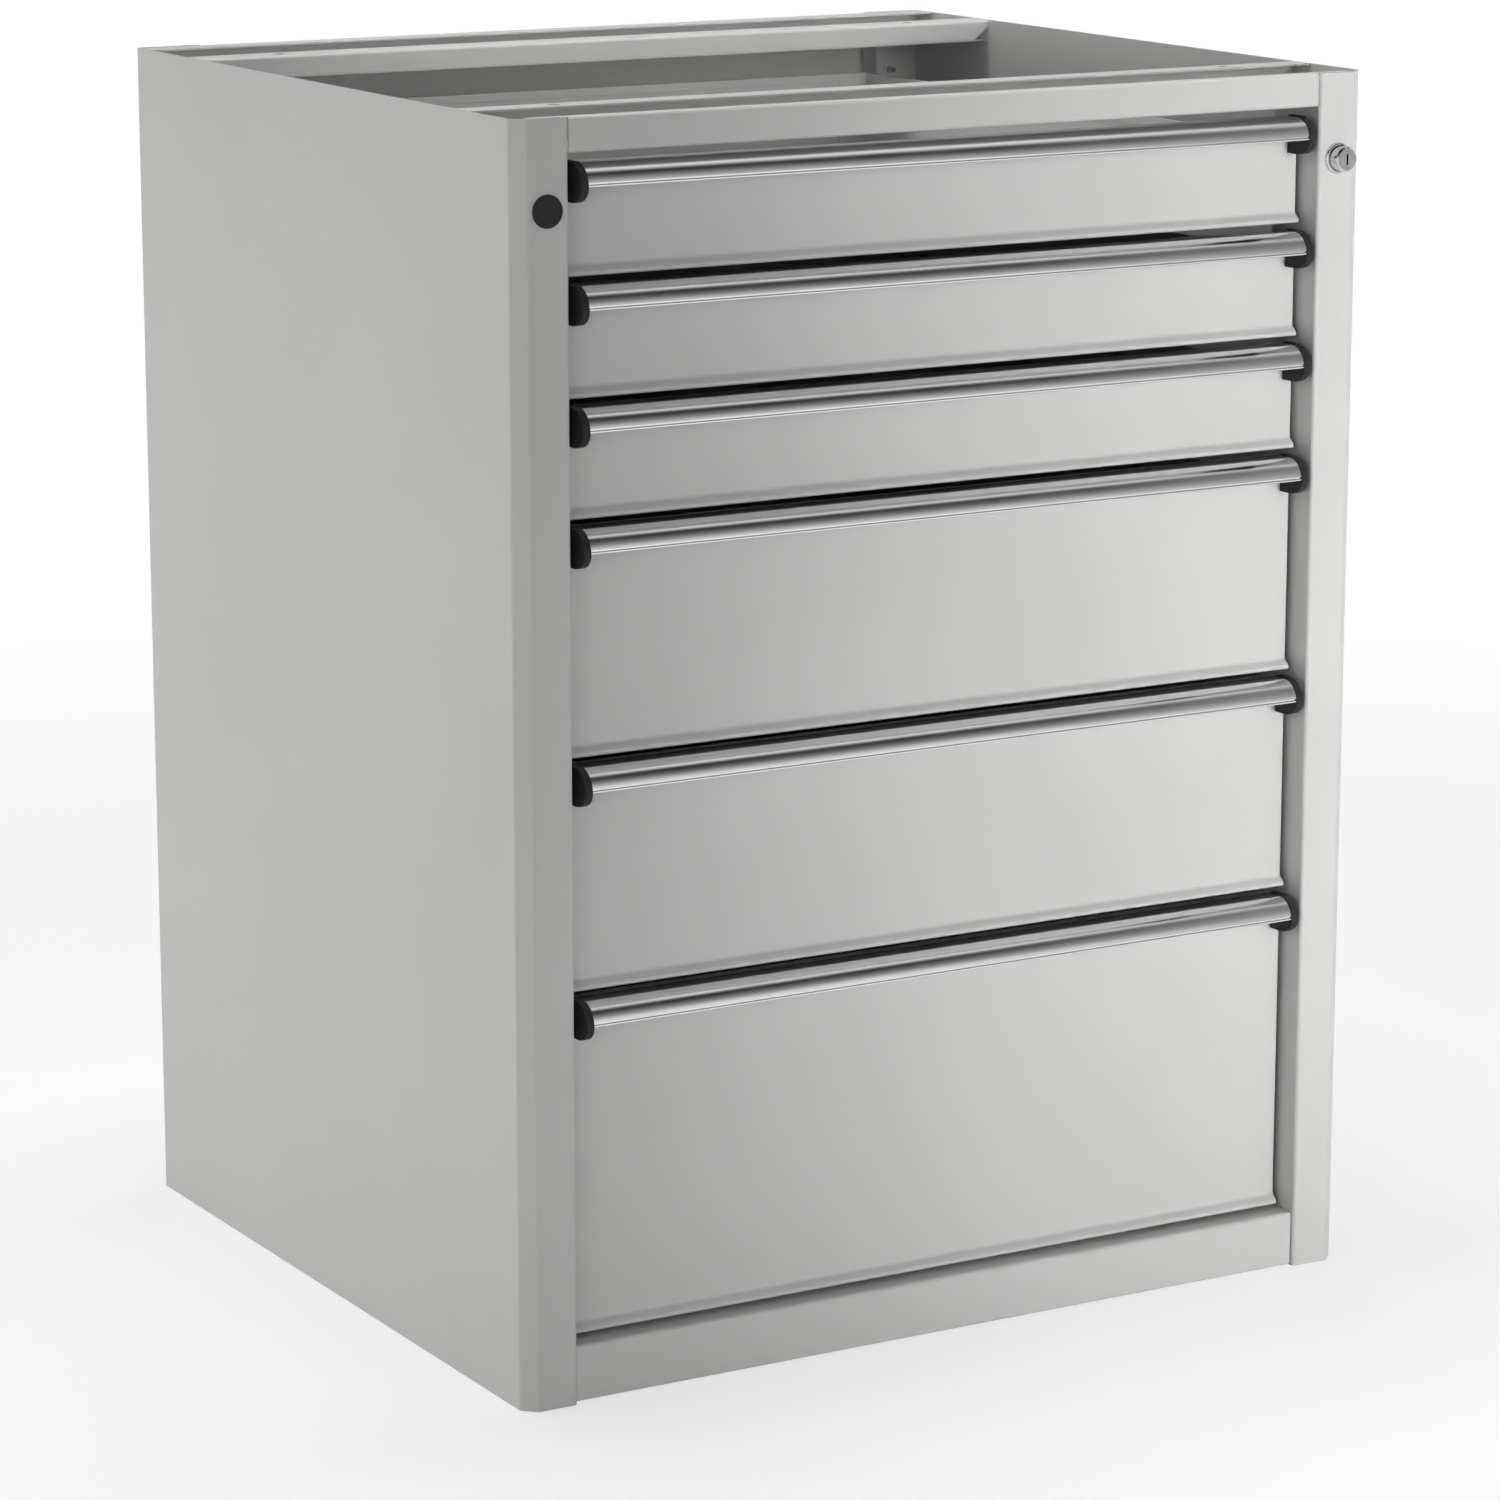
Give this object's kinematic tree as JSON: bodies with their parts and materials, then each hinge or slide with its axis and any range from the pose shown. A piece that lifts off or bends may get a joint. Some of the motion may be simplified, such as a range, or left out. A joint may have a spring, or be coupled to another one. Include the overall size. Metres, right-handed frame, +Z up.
{
  "type": "drawer cabinet",
  "caption": "Free-standing steel drawer cabinet with an open top for a worktop, full-width bar handles, telescopic runners and a cylinder lock that holds every drawer.",
  "frame": {"origin": "on the floor, at the middle of the overall footprint", "axes": "+X to the right as seen from the front, +Y from the front to the back, +Z up"},
  "size_m": [0.63, 0.573, 0.815],
  "materials": {
    "powder_coat": "light grey semi-gloss powder coat",
    "handle_aluminium": "polished and anodised extrusion",
    "black_plastic": "moulded, fine matt texture",
    "lock_chrome": "bright chrome",
    "zinc_steel": "bright zinc plate"
  },
  "bodies": {
    "carcass": {"side_panel_left": "powder_coat", "side_panel_right": "powder_coat", "top_rail_front": "powder_coat", "top_rail_rear": "powder_coat", "plinth": "powder_coat", "base_rail_left": "powder_coat", "base_rail_right": "powder_coat", "floor_panel": "powder_coat", "back_panel": "powder_coat", "back_panel_screws": "zinc_steel", "blanking_plug": "black_plastic", "lock_housing": "lock_chrome", "lock_nut": "zinc_steel", "lock_bar_guides": "zinc_steel", "slide_outer_1": "zinc_steel", "slide_outer_2": "zinc_steel", "slide_outer_3": "zinc_steel", "slide_outer_4": "zinc_steel", "slide_outer_5": "zinc_steel", "slide_outer_6": "zinc_steel"},
    "drawer_1": {"drawer_front_1": "powder_coat", "drawer_tray_1": "powder_coat", "handle_bar_1": "handle_aluminium", "handle_caps_1": "black_plastic", "slide_inner_1": "zinc_steel"},
    "slide_middle_1": {"slide_middle_1": "zinc_steel"},
    "drawer_2": {"drawer_front_2": "powder_coat", "drawer_tray_2": "powder_coat", "handle_bar_2": "handle_aluminium", "handle_caps_2": "black_plastic", "slide_inner_2": "zinc_steel"},
    "slide_middle_2": {"slide_middle_2": "zinc_steel"},
    "drawer_3": {"drawer_front_3": "powder_coat", "drawer_tray_3": "powder_coat", "handle_bar_3": "handle_aluminium", "handle_caps_3": "black_plastic", "slide_inner_3": "zinc_steel"},
    "slide_middle_3": {"slide_middle_3": "zinc_steel"},
    "drawer_4": {"drawer_front_4": "powder_coat", "drawer_tray_4": "powder_coat", "handle_bar_4": "handle_aluminium", "handle_caps_4": "black_plastic", "slide_inner_4": "zinc_steel"},
    "slide_middle_4": {"slide_middle_4": "zinc_steel"},
    "drawer_5": {"drawer_front_5": "powder_coat", "drawer_tray_5": "powder_coat", "handle_bar_5": "handle_aluminium", "handle_caps_5": "black_plastic", "slide_inner_5": "zinc_steel"},
    "slide_middle_5": {"slide_middle_5": "zinc_steel"},
    "drawer_6": {"drawer_front_6": "powder_coat", "drawer_tray_6": "powder_coat", "handle_bar_6": "handle_aluminium", "handle_caps_6": "black_plastic", "slide_inner_6": "zinc_steel"},
    "slide_middle_6": {"slide_middle_6": "zinc_steel"},
    "lock_cylinder": {"lock_cylinder": "lock_chrome", "lock_cam": "zinc_steel"},
    "lock_bar": {"lock_bar": "zinc_steel", "lock_bar_pins": "zinc_steel"}
  },
  "joints": [
    {"name": "drawer_1_slide", "type": "slide", "parent": "carcass", "child": "drawer_1", "axis": [0, -1, 0], "range_m": [0, 0.48]},
    {"name": "middle_1_slide", "type": "slide", "parent": "carcass", "child": "slide_middle_1", "axis": [0, -1, 0], "range_m": [0, 0.24]},
    {"name": "drawer_2_slide", "type": "slide", "parent": "carcass", "child": "drawer_2", "axis": [0, -1, 0], "range_m": [0, 0.48]},
    {"name": "middle_2_slide", "type": "slide", "parent": "carcass", "child": "slide_middle_2", "axis": [0, -1, 0], "range_m": [0, 0.24]},
    {"name": "drawer_3_slide", "type": "slide", "parent": "carcass", "child": "drawer_3", "axis": [0, -1, 0], "range_m": [0, 0.48]},
    {"name": "middle_3_slide", "type": "slide", "parent": "carcass", "child": "slide_middle_3", "axis": [0, -1, 0], "range_m": [0, 0.24]},
    {"name": "drawer_4_slide", "type": "slide", "parent": "carcass", "child": "drawer_4", "axis": [0, -1, 0], "range_m": [0, 0.48]},
    {"name": "middle_4_slide", "type": "slide", "parent": "carcass", "child": "slide_middle_4", "axis": [0, -1, 0], "range_m": [0, 0.24]},
    {"name": "drawer_5_slide", "type": "slide", "parent": "carcass", "child": "drawer_5", "axis": [0, -1, 0], "range_m": [0, 0.48]},
    {"name": "middle_5_slide", "type": "slide", "parent": "carcass", "child": "slide_middle_5", "axis": [0, -1, 0], "range_m": [0, 0.24]},
    {"name": "drawer_6_slide", "type": "slide", "parent": "carcass", "child": "drawer_6", "axis": [0, -1, 0], "range_m": [0, 0.48]},
    {"name": "middle_6_slide", "type": "slide", "parent": "carcass", "child": "slide_middle_6", "axis": [0, -1, 0], "range_m": [0, 0.24]},
    {"name": "lock_turn", "type": "hinge", "parent": "carcass", "child": "lock_cylinder", "pos_m": [0.293, -0.2755, 0.759], "axis": [0, 1, 0], "range_deg": [0, 90]},
    {"name": "lock_bar_slide", "type": "slide", "parent": "carcass", "child": "lock_bar", "axis": [0, 0, 1], "range_m": [0, 0.01]}
  ],
  "couplings": [
    {"joint": "middle_1_slide", "follows": "drawer_1_slide", "ratio": 0.5},
    {"joint": "middle_2_slide", "follows": "drawer_2_slide", "ratio": 0.5},
    {"joint": "middle_3_slide", "follows": "drawer_3_slide", "ratio": 0.5},
    {"joint": "middle_4_slide", "follows": "drawer_4_slide", "ratio": 0.5},
    {"joint": "middle_5_slide", "follows": "drawer_5_slide", "ratio": 0.5},
    {"joint": "middle_6_slide", "follows": "drawer_6_slide", "ratio": 0.5},
    {"joint": "lock_turn", "follows": "lock_bar_slide", "rad_per_m": 157.08}
  ]
}
